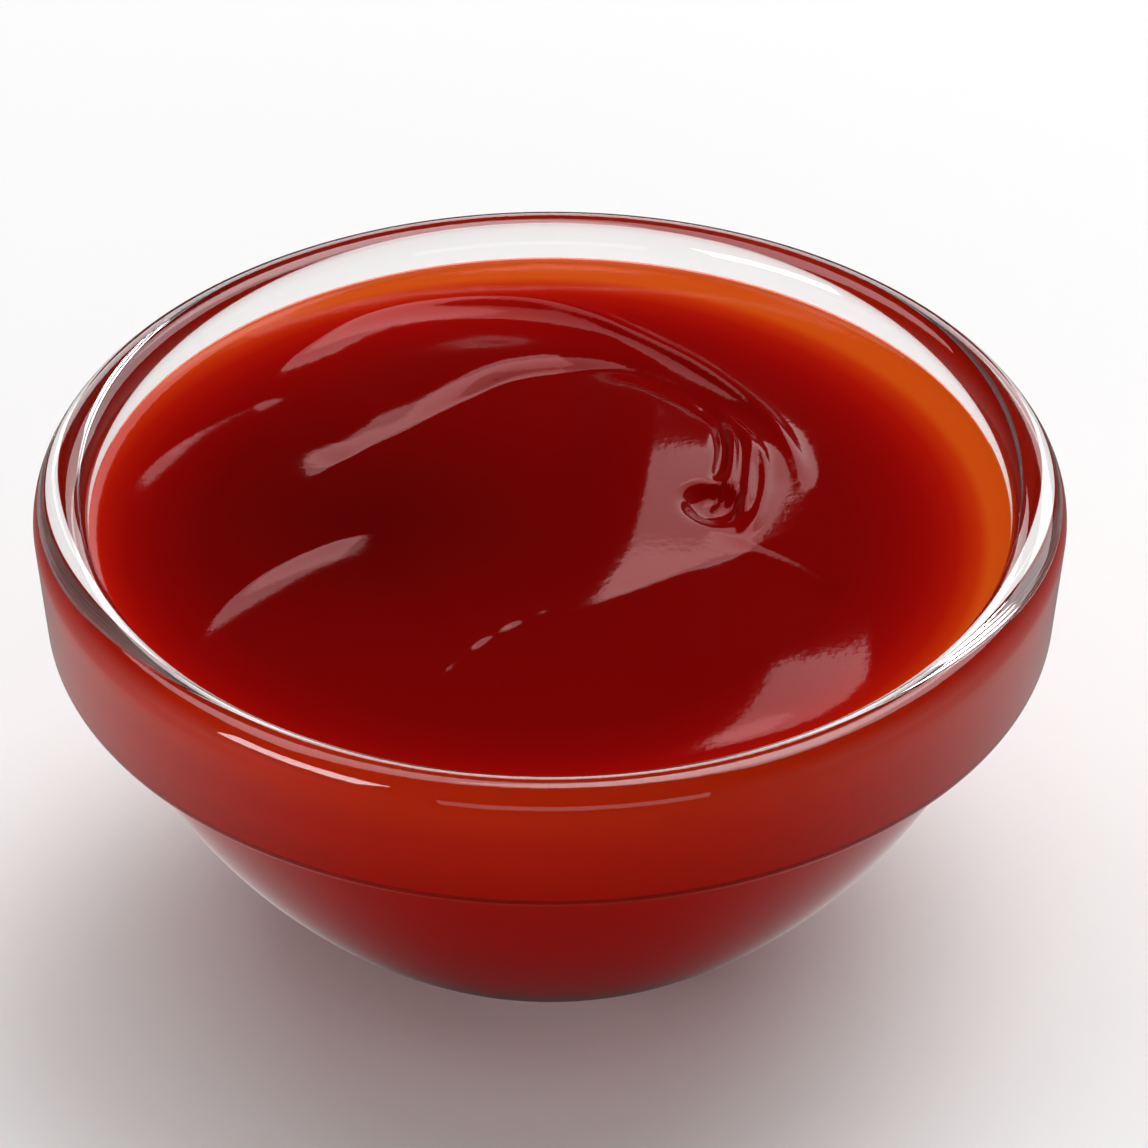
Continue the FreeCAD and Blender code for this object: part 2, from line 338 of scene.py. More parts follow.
# %% The lathe
def lathe_tree():
    """Turns a section once round the Z axis. The result is one closed, smooth mesh."""
    tree, given, result = new_tree("turn_a_section", (
        ("Section", "Object"), ("Points", "Int"), ("Steps round", "Int"), ("Finish", "Material")))
    nodes, links = tree.nodes, tree.links
    section = nodes.new("GeometryNodeObjectInfo")
    links.new(given.outputs["Section"], section.inputs["Object"])

    grid = nodes.new("GeometryNodeMeshGrid")
    columns = Number(tree, given.outputs["Steps round"]) + 1.0
    links.new(columns.socket, grid.inputs["Vertices X"])
    links.new(given.outputs["Points"], grid.inputs["Vertices Y"])

    place = nodes.new("GeometryNodeInputPosition")
    across, along, _ = split(tree, place.outputs[0])
    row = (along + 0.5) * (Number(tree, given.outputs["Points"]) - 1.0)
    chain = section.outputs["Geometry"]
    point = read_section(tree, chain, row, "position", "FLOAT_VECTOR")
    mark = read_section(tree, chain, row, "pressed", "FLOAT")

    keep = nodes.new("GeometryNodeStoreNamedAttribute")
    keep.data_type = "FLOAT"
    keep.domain = "POINT"
    keep.inputs["Name"].default_value = "pressed"
    links.new(grid.outputs["Mesh"], keep.inputs["Geometry"])
    links.new(mark, keep.inputs["Value"])

    radius, _, height = split(tree, point)
    angle = (across + 0.5) * math.tau
    move = nodes.new("GeometryNodeSetPosition")
    links.new(keep.outputs["Geometry"], move.inputs["Geometry"])
    turned = joined(tree, radius * angle.math("COSINE"), radius * angle.math("SINE"), height)
    links.new(turned, move.inputs["Position"])

    weld = nodes.new("GeometryNodeMergeByDistance")
    weld.inputs["Distance"].default_value = 0.001 * MM
    links.new(move.outputs["Geometry"], weld.inputs["Geometry"])
    smooth = nodes.new("GeometryNodeSetShadeSmooth")
    links.new(weld.outputs["Geometry"], smooth.inputs["Geometry"])
    coat = coated(tree, smooth.outputs["Geometry"], given.outputs["Finish"])
    links.new(coat.outputs["Geometry"], result.inputs["Geometry"])
    return tree


lathe = lathe_tree()
print(f"lathe tree: {len(lathe.nodes)} nodes")


# %% From node trees to a plain mesh
def made_by_nodes(name, stages):
    """Runs node trees one after another on an empty mesh and keeps the result as a mesh."""
    start = bpy.data.objects.new(name + "_start", bpy.data.meshes.new(name + "_start"))
    bpy.context.scene.collection.objects.link(start)
    for tree, values in stages:
        modifier = start.modifiers.new(tree.name, "NODES")
        modifier.node_group = tree
        for item in tree.interface.items_tree:
            if item.in_out == "INPUT" and item.name in values:
                modifier[item.identifier] = values[item.name]
    seen = start.evaluated_get(bpy.context.evaluated_depsgraph_get())
    mesh = bpy.data.meshes.new_from_object(seen)
    bpy.data.objects.remove(start)
    mesh.name = name
    piece = bpy.data.objects.new(name, mesh)
    bpy.context.scene.collection.objects.link(piece)
    triangles = sum(len(face.vertices) - 2 for face in mesh.polygons)
    print(f"{name}: {triangles} triangles")
    return piece


# %% [markdown]
# ## Clear glass
#
# Soda glass bends light by an index near 1.5 and has almost no colour until you look along it. In
# Cycles a plain glass shader blocks lamps, because shadow rays don't bend, so the sauce inside
# would sit in the dark. The usual answer is to let shadow rays pass through a Transparent shader
# with a little of the glass's tint.


# %% The glass
glass_index = 1.5
glass_tint = (0.97, 0.985, 0.98, 1)
glass_shadow = (0.95, 0.96, 0.955, 1)


def shader_tree(name):
    """Material with an empty node tree, and its output node."""
    material = bpy.data.materials.new(name)
    material.use_nodes = True
    material.node_tree.nodes.clear()
    return material, material.node_tree, material.node_tree.nodes.new("ShaderNodeOutputMaterial")


def clear_glass():
    """Clear glass for every ray but shadow rays, which pass with a little tint."""
    material, tree, output = shader_tree("clear_glass")
    glass = tree.nodes.new("ShaderNodeBsdfPrincipled")
    glass.inputs["Base Color"].default_value = glass_tint
    glass.inputs["Roughness"].default_value = 0.0
    glass.inputs["IOR"].default_value = glass_index
    glass.inputs["Transmission Weight"].default_value = 1.0
    through = tree.nodes.new("ShaderNodeBsdfTransparent")
    through.inputs["Color"].default_value = glass_shadow
    path = tree.nodes.new("ShaderNodeLightPath")
    mix = tree.nodes.new("ShaderNodeMixShader")
    tree.links.new(path.outputs["Is Shadow Ray"], mix.inputs[0])
    tree.links.new(glass.outputs[0], mix.inputs[1])
    tree.links.new(through.outputs[0], mix.inputs[2])
    tree.links.new(mix.outputs[0], output.inputs["Surface"])
    return material


glass_finish = clear_glass()
print(f"{glass_finish.name}: {len(glass_finish.node_tree.nodes)} nodes")

# %% Turn the bowl
bowl_steps = 256
bowl = made_by_nodes("bowl_glass", [(lathe, {
    "Section": bowl_section, "Points": len(bowl_points), "Steps round": bowl_steps,
    "Finish": glass_finish})])
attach(bowl, "root")
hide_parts("glass_bowl")

# %% [markdown]
# ## The body of the sauce
#
# The sauce fills the cavity, so its sides are the inside curve of the glass, taken a little way
# into the wall. If the two surfaces only touched, a thin film of air would show between them as a
# silvery ring. Its top starts flat, in fine rings, and is marked as the part that the spoon will
# press; the sides and floor are left unmarked.

# %% Sizes of the sauce
sink = 0.15 * MM
meniscus_rise = 0.3 * MM
meniscus_width = 0.6 * MM
sauce_drop = 2.7 * MM
sauce_level = bowl_height - sauce_drop
contact_level = sauce_level + meniscus_rise
edge_gap = 0.2 * MM
edge_inset = 0.02 * MM
wall_steps = 28
top_rings = 140
sauce_steps = 512
print(f"the sauce stands {sauce_drop / MM:.1f} mm below the rim's crest")


# %% Draw the section of the sauce
def sauce_side():
    """Section of the sauce from the floor's middle up to just under the top's edge."""
    wall = inside_curve(Vector((mouth_radius, rim_level)), wall_steps)
    wall = [p for p in reversed(wall) if p.y < contact_level - edge_gap]
    floor = [Vector((floor_radius * i / floor_steps, floor_level)) for i in range(floor_steps)]
    floor_edge = Vector((floor_radius, floor_level))
    return round_corner(floor + wall, floor_edge, floor_round, floor_bend_steps)


def sunk_into_glass(side):
    """The same section moved outwards by the sink: the floor goes down and the wall goes out."""
    middle = floor_radius / 2
    ends = side[1:] + [Vector((mouth_radius, contact_level))]
    sunk = []
    for point, following in zip(side, ends):
        along = (following - point).normalized()
        out = Vector((along.y, -along.x)) if point.x > middle else Vector((0, -1))
        sunk.append(point + out * sink)
    return sunk


def sauce_section():
    """Whole half section, with the mark 1 on the points of the top."""
    side = sunk_into_glass(sauce_side())
    edge = mouth_radius - edge_inset + sink
    top = [Vector((edge * (1 - i / top_rings), sauce_level)) for i in range(top_rings + 1)]
    return side + top, [0.0] * len(side) + [1.0] * len(top)


sauce_points, sauce_marks = sauce_section()
print(f"sauce section: {len(sauce_points)} points, {top_rings} rings on top")

# %% [markdown]
# ## The spoon's swirl
#
# A spoon leaves two large kinds of shape in thick sauce. Where its edge bites in, it leaves a bank
# along a line: steep at the line, easing off to one side. Where the last of the sauce slides off
# it, a fold lies down and rolls to a crease at its front and at its end. Two small kinds go with
# them: a wrinkle, which is a thin ridge or valley along a line, and a round pit. Each kind is a
# formula, built as a node group with named inputs. A line and the height along it are Float Curve
# nodes, so both can be dragged. It could be sculpted, but then no size could be changed.


# %% Curves along a line
def along_curve(number, stops, straight=False):
    """Reads a curve through (place, value) stops, all between 0 and 1."""
    node = number.tree.nodes.new("ShaderNodeFloatCurve")
    points = node.mapping.curves[0].points
    while len(points) < len(stops):
        points.new(0.5, 0.5)
    for point, stop in zip(points, stops):
        point.location = stop
        point.handle_type = "VECTOR" if straight or stop in stops[::len(stops) - 1] else "AUTO"
    node.mapping.extend = "HORIZONTAL"
    node.mapping.update()
    number.tree.links.new(number.socket, node.inputs["Value"])
    return Number(number.tree, node.outputs["Value"]).clamped()


def number_tree(name, inputs):
    """Node group that works out one rise from named numbers."""
    tree = bpy.data.node_groups.new(name, "GeometryNodeTree")
    for label in inputs:
        tree.interface.new_socket(label, in_out="INPUT", socket_type="NodeSocketFloat")
    tree.interface.new_socket("Rise", in_out="OUTPUT", socket_type="NodeSocketFloat")
    given = tree.nodes.new("NodeGroupInput")
    result = tree.nodes.new("NodeGroupOutput")
    numbers = {label: Number(tree, given.outputs[label]) for label in inputs}
    return tree, numbers, result


# %% Near a line
def near_line(n, centre, line, heights):
    """How far outside a line a place is, and the share of the full height there.

    line is the distance from the centre at each angle in degrees, as shares of the mouth;
    heights is the share of the full height at each angle.
    """
    dx = n["X"] - centre[0] * mouth_radius
    dy = n["Y"] - centre[1] * mouth_radius
    first = min(line[0][0], heights[0][0])
    last = max(line[-1][0], heights[-1][0])
    middle = (first + last) / 2
    angle = (dy.math("ARCTAN2", dx).math("DEGREES") - middle).math("WRAP", 180.0, -180.0)
    place = ((angle + (middle - first)) / (last - first)).clamped()
    radius = along_curve(place, [((a - first) / (last - first), r) for a, r in line])
    height = along_curve(place, [((a - first) / (last - first), h) for a, h in heights],
                         straight=True).ease()
    distance = (dx.squared() + dy.squared()).root() - radius * mouth_radius
    return distance, height


# %% A bank along a line
bank_softness = 0.15 * MM


def bank_tree(name, centre, line, heights):
    """Side -1 drops inside the line and +1 rises outside it."""
    tree, n, result = number_tree(name, ("X", "Y", "Height", "Width", "Reach", "Side"))
    distance, height = near_line(n, centre, line, heights)
    distance = (distance * n["Side"]).only_inside(bank_softness)
    rise = (-distance / n["Width"]).exp().part_of() * (-(distance / n["Reach"]).squared()).exp()
    total = rise * height * n["Height"] * n["Side"]
    tree.links.new(total.socket, result.inputs["Rise"])
    return tree


# %% A wrinkle along a line
def wrinkle_tree(name, centre, line, heights):
    """A thin rounded ridge, or with a negative height a thin valley, along a line."""
    tree, n, result = number_tree(name, ("X", "Y", "Height", "Width"))
    distance, height = near_line(n, centre, line, heights)
    total = (-(distance / n["Width"]).squared()).exp() * height * n["Height"]
    tree.links.new(total.socket, result.inputs["Rise"])
    return tree


# %% A round pit
PIT_INPUTS = ("X", "Y", "Centre X", "Centre Y", "Depth", "Radius")


def pit_tree():
    """A round hollow with soft sides."""
    tree, n, result = number_tree("round_pit", PIT_INPUTS)
    dx = (n["X"] - n["Centre X"]) / n["Radius"]
    dy = (n["Y"] - n["Centre Y"]) / n["Radius"]
    total = -((-(dx.squared() + dy.squared()).squared()).exp() * n["Depth"])
    tree.links.new(total.socket, result.inputs["Rise"])
    return tree


pit_group = pit_tree()
print(f"pit: {len(pit_group.nodes)} nodes")

# %% A fold that rolls to a crease
fold_softness = 0.25 * MM
FOLD_INPUTS = ("X", "Y", "Corner X", "Corner Y", "Front", "End", "Height", "Front roll",
               "End roll", "Back", "Back start", "Back stop", "Tail", "Tail start", "Tail stop")


def fold_tree():
    """Front, End, Back and Tail are directions in degrees from the fold's corner."""
    tree, n, result = number_tree("fold_to_a_crease", FOLD_INPUTS)
    dx = n["X"] - n["Corner X"]
    dy = n["Y"] - n["Corner Y"]

    def along(direction):
        turn = direction.math("RADIANS")
        return dx * turn.math("COSINE") + dy * turn.math("SINE")

    from_front = (-along(n["Front"])).only_inside(fold_softness)
    from_end = (-along(n["End"])).only_inside(fold_softness)
    roll = (-from_front / n["Front roll"]).exp().part_of()
    roll = roll * (from_end / n["End roll"]).clamped().part_of().squared().part_of()
    back = along(n["Back"]) - n["Back start"]
    back = (back / (n["Back stop"] - n["Back start"])).ease().part_of()
    tail = along(n["Tail"]) - n["Tail start"]
    tail = (tail / (n["Tail stop"] - n["Tail start"])).ease().part_of()
    tree.links.new((roll * n["Height"] * back * tail).socket, result.inputs["Rise"])
    return tree


fold_group = fold_tree()
print(f"fold: {len(fold_group.nodes)} nodes")

# %% [markdown]
# ## Where the spoon went
#
# The swirl reads from the far left round to the right: the first bite scraped a long bank along
# the far side, a second turn left a lip inside it, and the spoon was lifted out at the right,
# where the last fold lies over the rest. A lower fold lies in front of it and one furrow runs at
# the near left. Where the spoon let go, the sauce pulled into thin wrinkles round a small pit.
# Places are shares of the mouth's radius, x to the right and y away from you. A painted height
# picture could hold all of this too, but a number with a name is easier to move.

# %% Lines that more than one shape follows
FAR_CENTRE = (-0.112, 0.168)
FAR_LINE = ((-8, 0.672), (3, 0.655), (22, 0.620), (44, 0.598), (58, 0.604), (72, 0.642),
            (84, 0.674), (100, 0.690), (115, 0.688), (128, 0.656), (140, 0.634), (160, 0.575))
LIP_CENTRE = (0.0, 0.112)
LIP_LINE = ((0, 0.436), (22, 0.451), (42, 0.472), (62, 0.486), (83, 0.486), (101, 0.450),
            (118, 0.404), (137, 0.392), (157, 0.431), (172, 0.505), (190, 0.560))
TWIST_CENTRE = (0.195, 0.067)
print(f"the far line turns through {FAR_LINE[-1][0] - FAR_LINE[0][0]} degrees")

# %% The banks of this swirl
# name: centre, line, heights, sizes
swirl_banks = {
    "far_scrape": (
        FAR_CENTRE, FAR_LINE,
        ((-8, 0.0), (50, 0.42), (100, 1.0), (122, 1.0), (168, 0.0)),
        {"Height": 1.0 * MM, "Width": 3.6 * MM, "Reach": 11 * MM, "Side": -1}),
    "far_line": (
        FAR_CENTRE, FAR_LINE,
        ((4, 0.0), (30, 1.0), (75, 1.0), (110, 0.45), (165, 0.0)),
        {"Height": 0.95 * MM, "Width": 1.7 * MM, "Reach": 6 * MM, "Side": -1}),
    "left_scrape": (
        (-0.224, -0.224), ((104, 0.784), (176, 0.784)),
        ((104, 0.0), (122, 1.0), (140, 1.0), (176, 0.0)),
        {"Height": 0.75 * MM, "Width": 2.8 * MM, "Reach": 9 * MM, "Side": -1}),
    "inner_lip": (
        LIP_CENTRE, LIP_LINE,
        ((30, 0.0), (75, 0.50), (100, 0.70), (130, 1.0), (158, 1.0), (188, 0.0)),
        {"Height": 1.60 * MM, "Width": 4.6 * MM, "Reach": 8 * MM, "Side": +1}),
    "lip_line": (
        LIP_CENTRE, LIP_LINE,
        ((0, 0.0), (24, 1.0), (100, 1.0), (135, 0.0)),
        {"Height": 0.70 * MM, "Width": 1.5 * MM, "Reach": 4 * MM, "Side": +1}),
    "near_furrow": (
        (-0.112, -0.616), ((108, 0.638), (190, 0.680)),
        ((108, 0.0), (126, 1.0), (142, 0.85), (158, 0.6), (190, 0.0)),
        {"Height": 0.75 * MM, "Width": 2.4 * MM, "Reach": 9 * MM, "Side": -1}),
    "low_line": (
        (0.224, -0.504), ((20, 0.470), (78, 0.470)),
        ((20, 0.0), (36, 1.0), (62, 1.0), (78, 0.0)),
        {"Height": 0.25 * MM, "Width": 0.8 * MM, "Reach": 5 * MM, "Side": -1}),
}
print(f"{len(swirl_banks)} banks")

# %% The folds of this swirl
# Front, End, Back and Tail are directions in degrees
swirl_folds = {
    "last_fold": {
        "Corner X": 0.565 * mouth_radius, "Corner Y": -0.022 * mouth_radius,
        "Front": -58, "End": 2, "Height": 2.3 * MM,
        "Front roll": 11 * MM, "End roll": 16 * MM,
        "Back": 52, "Back start": 3.5 * MM, "Back stop": 11 * MM,
        "Tail": 176, "Tail start": 12 * MM, "Tail stop": 20 * MM},
    "low_fold": {
        "Corner X": 0.683 * mouth_radius, "Corner Y": -0.694 * mouth_radius,
        "Front": -66, "End": -2, "Height": 1.25 * MM,
        "Front roll": 8 * MM, "End roll": 12 * MM,
        "Back": 90, "Back start": 4 * MM, "Back stop": 15 * MM,
        "Tail": 170, "Tail start": 7 * MM, "Tail stop": 18 * MM},
}
print(f"{len(swirl_folds)} folds")

# %% The wrinkles and the pit
# name: centre, line, heights, sizes
twist_wrinkles = {
    "far_ridge": (
        FAR_CENTRE, FAR_LINE,
        ((-8, 0.0), (6, 1.0), (40, 1.0), (95, 0.0)),
        {"Height": 0.24 * MM, "Width": 0.75 * MM}),
    "twist_valley": (
        TWIST_CENTRE, ((14, 0.170), (27, 0.189), (50, 0.279), (62, 0.353), (78, 0.400)),
        ((14, 0.0), (35, 1.0), (60, 1.0), (78, 0.0)),
        {"Height": -0.45 * MM, "Width": 0.60 * MM}),
    "inner_wrinkle": (
        TWIST_CENTRE,
        ((-16, 0.170), (-4, 0.180), (29, 0.232), (50, 0.306), (64, 0.362), (76, 0.402)),
        ((-16, 0.0), (5, 0.9), (50, 1.0), (76, 0.0)),
        {"Height": 0.40 * MM, "Width": 0.50 * MM}),
    "outer_wrinkle": (
        TWIST_CENTRE,
        ((-22, 0.222), (-9, 0.227), (20, 0.254), (42, 0.316), (58, 0.367), (72, 0.420)),
        ((-22, 0.0), (0, 0.9), (45, 1.0), (72, 0.0)),
        {"Height": 0.40 * MM, "Width": 0.50 * MM}),
    "last_wrinkle": (
        TWIST_CENTRE, ((-34, 0.256), (-19, 0.260), (2, 0.268), (31, 0.310), (50, 0.352)),
        ((-34, 0.0), (-15, 1.0), (25, 1.0), (50, 0.0)),
        {"Height": 0.30 * MM, "Width": 0.45 * MM}),
    "middle_streak": (
        (0.307, -0.859), ((118, 0.621), (156, 0.621)),
        ((118, 0.0), (122, 0.7), (126, 0.3), (130, 1.0), (134, 0.4), (139, 1.0),
         (143, 0.3), (149, 0.7), (156, 0.0)),
        {"Height": 0.11 * MM, "Width": 0.50 * MM}),
}
twist_pit = {"Centre X": 0.352 * mouth_radius, "Centre Y": 0.044 * mouth_radius,
             "Depth": 0.9 * MM, "Radius": 2.0 * MM}
print(f"{len(twist_wrinkles)} wrinkles and a pit {twist_pit['Depth'] / MM:.1f} mm deep")

# %% The sum of all the shapes
def shape_at(tree, x, y, name, group, sizes):
    """One shape's rise at a place, from its node group and its named sizes."""
    node = tree.nodes.new("GeometryNodeGroup")
    node.node_tree = group
    node.label = name
    tree.links.new(x.socket, node.inputs["X"])
    tree.links.new(y.socket, node.inputs["Y"])
    for label, value in sizes.items():
        node.inputs[label].default_value = value
    return Number(tree, node.outputs["Rise"])


def relief_at(tree, x, y):
    """The rises of all banks, wrinkles, folds and the pit at a place, added up."""
    relief = x * 0.0
    for name, (centre, line, heights, sizes) in swirl_banks.items():
        group = bank_tree(name, centre, line, heights)
        relief = relief + shape_at(tree, x, y, name, group, sizes)
    for name, (centre, line, heights, sizes) in twist_wrinkles.items():
        group = wrinkle_tree(name, centre, line, heights)
        relief = relief + shape_at(tree, x, y, name, group, sizes)
    for name, sizes in swirl_folds.items():
        relief = relief + shape_at(tree, x, y, name, fold_group, sizes)
    return relief + shape_at(tree, x, y, "twist_pit", pit_group, twist_pit)


# %% Press the swirl into the top
calm_share = 0.14  # how much of the mouth's radius stays nearly flat next to the wall


def swirl_tree():
    """Lifts and lowers the marked part of a mesh by the relief and the meniscus."""
    tree, given, result = new_tree("press_the_swirl", (
        ("Geometry", "Geometry"), ("Depth", "Float"), ("Mouth radius", "Float"),
        ("Meniscus rise", "Float"), ("Meniscus width", "Float"), ("Top finish", "Material")))
    nodes, links = tree.nodes, tree.links
    place = nodes.new("GeometryNodeInputPosition")
    x, y, _ = split(tree, place.outputs[0])
    relief = relief_at(tree, x, y)

    mouth = Number(tree, given.outputs["Mouth radius"])
    off_wall = (mouth - (x.squared() + y.squared()).root()).math("MAXIMUM", 0.0)
    climb = (-off_wall / Number(tree, given.outputs["Meniscus width"])).exp()
    climb = climb * Number(tree, given.outputs["Meniscus rise"])
    calm = (off_wall / (mouth * calm_share)).ease()
    rise = climb + relief * Number(tree, given.outputs["Depth"]) * calm

    marked = nodes.new("GeometryNodeInputNamedAttribute")
    marked.data_type = "FLOAT"
    marked.inputs["Name"].default_value = "pressed"
    mark = Number(tree, marked.outputs["Attribute"])
    move = nodes.new("GeometryNodeSetPosition")
    links.new(given.outputs["Geometry"], move.inputs["Geometry"])
    links.new(joined(tree, 0.0, 0.0, rise * mark), move.inputs["Offset"])
    coat = coated(tree, move.outputs["Geometry"], given.outputs["Top finish"])
    links.new(mark.math("GREATER_THAN", 0.5).socket, coat.inputs["Selection"])
    links.new(coat.outputs["Geometry"], result.inputs["Geometry"])
    return tree


swirl = swirl_tree()
shape_count = sum(node.type == "GROUP" for node in swirl.nodes)
print(f"swirl tree: {len(swirl.nodes)} nodes for {shape_count} shapes")

# %% [markdown]
# ## The sauce's finish
#
# Thick chilli sauce lets light a little way in. In the deep middle it comes out dark red, and
# where the sauce thins to the wall it comes out brighter and then orange. Subsurface scattering
# would make this too, slowly and with a waxy look, so this glow is painted into the colour by the
# distance from a centre instead, and painted shade darkens one trough left of the middle. A fine
# grain in the bump stands for the pulp and softens the highlights. Mirrors in sauce are tinted,
# because its oil and pigment sit right at the surface. Against the glass the sauce is wet all over
# and has no mirror of its own: the glass makes all the reflections there. Its colour there has
# painted light: lighter low down, where the floor's shadow leaves it dim, and darker at the band.


# %% Colour from a number
def colour_ramp(tree, number, stops):
    """Reads a colour through (place, colour) stops, with places between 0 and 1."""
    ramp = tree.nodes.new("ShaderNodeValToRGB")
    while len(ramp.color_ramp.elements) < len(stops):
        ramp.color_ramp.elements.new(0.5)
    for element, (spot, colour) in zip(ramp.color_ramp.elements, stops):
        element.position = spot
        element.color = (*colour, 1)
    tree.links.new(number, ramp.inputs["Fac"])
    return ramp.outputs["Color"]


# %% Dark in the middle, a painted orange glow at the wall
# The outer stops paint the glow of light that comes back out of the thin sauce at the wall.
depth_glow_colours = (
    (0.0, (0.155, 0.0006, 0.0004)), (0.70, (0.175, 0.0006, 0.0004)),
    (0.81, (0.225, 0.0008, 0.0005)), (0.87, (0.28, 0.0015, 0.0006)),
    (0.93, (0.365, 0.005, 0.0008)), (0.975, (0.47, 0.024, 0.0015)),
    (1.0, (0.54, 0.065, 0.004)))
# Moves the centre of the painted glow, so that the glow is wider at the back and right.
glow_centre_shift = (0.045, 0.065, 0)
# Painted shade: one soft dark oval in the trough left of the middle, where the top lies in shade.
painted_shade_x = -0.42
painted_shade_y = 0.02
painted_shade_narrow_x = 6.0
painted_shade_narrow_y = 8.0
painted_shade_colour = (0.030, 0.0004, 0.0004, 1)
painted_shade_share = 0.5


def depth_glow_colour(tree, place):
    """Colour by the distance from a centre, which lies a little off the bowl's own: dark red in
    the middle, then a painted glow, brighter and orange, towards the wall.
    """
    flat = tree.nodes.new("ShaderNodeMapping")
    flat.inputs["Location"].default_value = glow_centre_shift
    flat.inputs["Scale"].default_value = (1 / mouth_radius, 1 / mouth_radius, 0)
    length = tree.nodes.new("ShaderNodeVectorMath")
    length.operation = "LENGTH"
    tree.links.new(place, flat.inputs["Vector"])
    tree.links.new(flat.outputs[0], length.inputs[0])
    return colour_ramp(tree, length.outputs["Value"], depth_glow_colours)


def with_painted_shade(tree, place, colour):
    """Paints shade into the colour: one soft dark oval in the trough left of the middle."""
    x, y, _ = split(tree, place)
    dx = x / mouth_radius - painted_shade_x
    dy = y / mouth_radius - painted_shade_y
    away = dx.squared() * painted_shade_narrow_x + dy.squared() * painted_shade_narrow_y
    painted_shade_weight = (-away).exp()
    shade = tree.nodes.new("ShaderNodeMix")
    shade.data_type = "RGBA"
    tree.links.new((painted_shade_weight * painted_shade_share).socket, shade.inputs["Factor"])
    tree.links.new(colour, shade.inputs[6])
    shade.inputs[7].default_value = painted_shade_colour
    return shade.outputs[2]


print(f"{len(depth_glow_colours)} colours from the middle to the wall")


# %% The wet top
pulp_scale = 1600
pulp_strength = 0.45
pulp_depth = 0.02 * MM
wet_roughness = 0.085
wet_index = 1.37
wet_tint = (0.90, 0.28, 0.27, 1)


def pulp_normal(tree, place):
    """Fine bumps, finer than a millimetre, for the pulp."""
    pulp = tree.nodes.new("ShaderNodeTexNoise")
    pulp.inputs["Scale"].default_value = pulp_scale
    pulp.inputs["Detail"].default_value = 2
    tree.links.new(place, pulp.inputs["Vector"])
    bump = tree.nodes.new("ShaderNodeBump")
    bump.inputs["Strength"].default_value = pulp_strength
    bump.inputs["Distance"].default_value = pulp_depth
    tree.links.new(pulp.outputs[0], bump.inputs["Height"])
    return bump.outputs["Normal"]


def wet_top():
    """Finish of the top: a tinted, nearly sharp mirror over the depth's colour, with its painted
    glow and painted shade.
    """
    material, tree, output = shader_tree("hot_sauce_top")
    place = tree.nodes.new("ShaderNodeTexCoord").outputs["Object"]
    colour = with_painted_shade(tree, place, depth_glow_colour(tree, place))
    sauce = tree.nodes.new("ShaderNodeBsdfPrincipled")
    tree.links.new(colour, sauce.inputs["Base Color"])
    tree.links.new(pulp_normal(tree, place), sauce.inputs["Normal"])
    sauce.inputs["Roughness"].default_value = wet_roughness
    sauce.inputs["IOR"].default_value = wet_index
    sauce.inputs["Specular Tint"].default_value = wet_tint
    tree.links.new(sauce.outputs[0], output.inputs["Surface"])
    return material


top_finish = wet_top()
print(f"{top_finish.name}: {len(top_finish.node_tree.nodes)} nodes")

# %% The sauce against the glass
# Painted light: lighter low down, where the floor's shadow leaves the sauce dim, darker at the
# band and brighter again near the top.
side_colours_with_painted_light = (
    (0.0, (0.48, 0.003, 0.002)), (0.45, (0.44, 0.003, 0.001)),
    (0.60, (0.42, 0.005, 0.001)), (0.70, (0.365, 0.008, 0.0015)),
    (0.80, (0.365, 0.009, 0.002)), (0.95, (0.45, 0.022, 0.003)))


def against_glass():
    """Finish of the sides: no mirror of its own, and a colour by height with painted light in it.
    """
    material, tree, output = shader_tree("hot_sauce_against_glass")
    place = tree.nodes.new("ShaderNodeTexCoord").outputs["Object"]
    _, _, height = split(tree, place)
    colour = colour_ramp(tree, (height / bowl_height).socket, side_colours_with_painted_light)
    sauce = tree.nodes.new("ShaderNodeBsdfPrincipled")
    tree.links.new(colour, sauce.inputs["Base Color"])
    sauce.inputs["Roughness"].default_value = 0.6
    sauce.inputs["Specular IOR Level"].default_value = 0.0
    tree.links.new(sauce.outputs[0], output.inputs["Surface"])
    return material


side_finish = against_glass()
print(f"{side_finish.name}: {len(side_finish.node_tree.nodes)} nodes")

# %% Make the sauce
sauce_chain = section_mesh("sauce_section", sauce_points, sauce_marks)
sauce = made_by_nodes("hot_sauce", [
    (lathe, {"Section": sauce_chain, "Points": len(sauce_points), "Steps round": sauce_steps,
             "Finish": side_finish}),
    (swirl, {"Depth": 1.0, "Mouth radius": mouth_radius, "Meniscus rise": meniscus_rise,
             "Meniscus width": meniscus_width, "Top finish": top_finish})])
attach(sauce, "root")
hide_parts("sauce")

# %% [markdown]
# ## A floor that glass can mirror
#
# The bowl stands on a pale matt floor that keeps its soft shadow. Glass mirrors whatever is round
# it, and a white floor in every direction would wash the red out of the band. In a studio, dark
# cards stand in front of glass for this. Here the floor answers mirror rays with a dim glow that
# is stronger to the left and right, so the sides of the band go pale and its front stays red.


# %% A pale floor
mirror_least = 0.05
mirror_at_side = 0.6
mirror_colour = (1.0, 0.93, 0.91, 1)


def side_share(x, y):
    """1 straight to the left or right and 0 straight in front or behind."""
    share = x.squared() / (x.squared() + y.squared() + 1e-6)
    return share.squared()


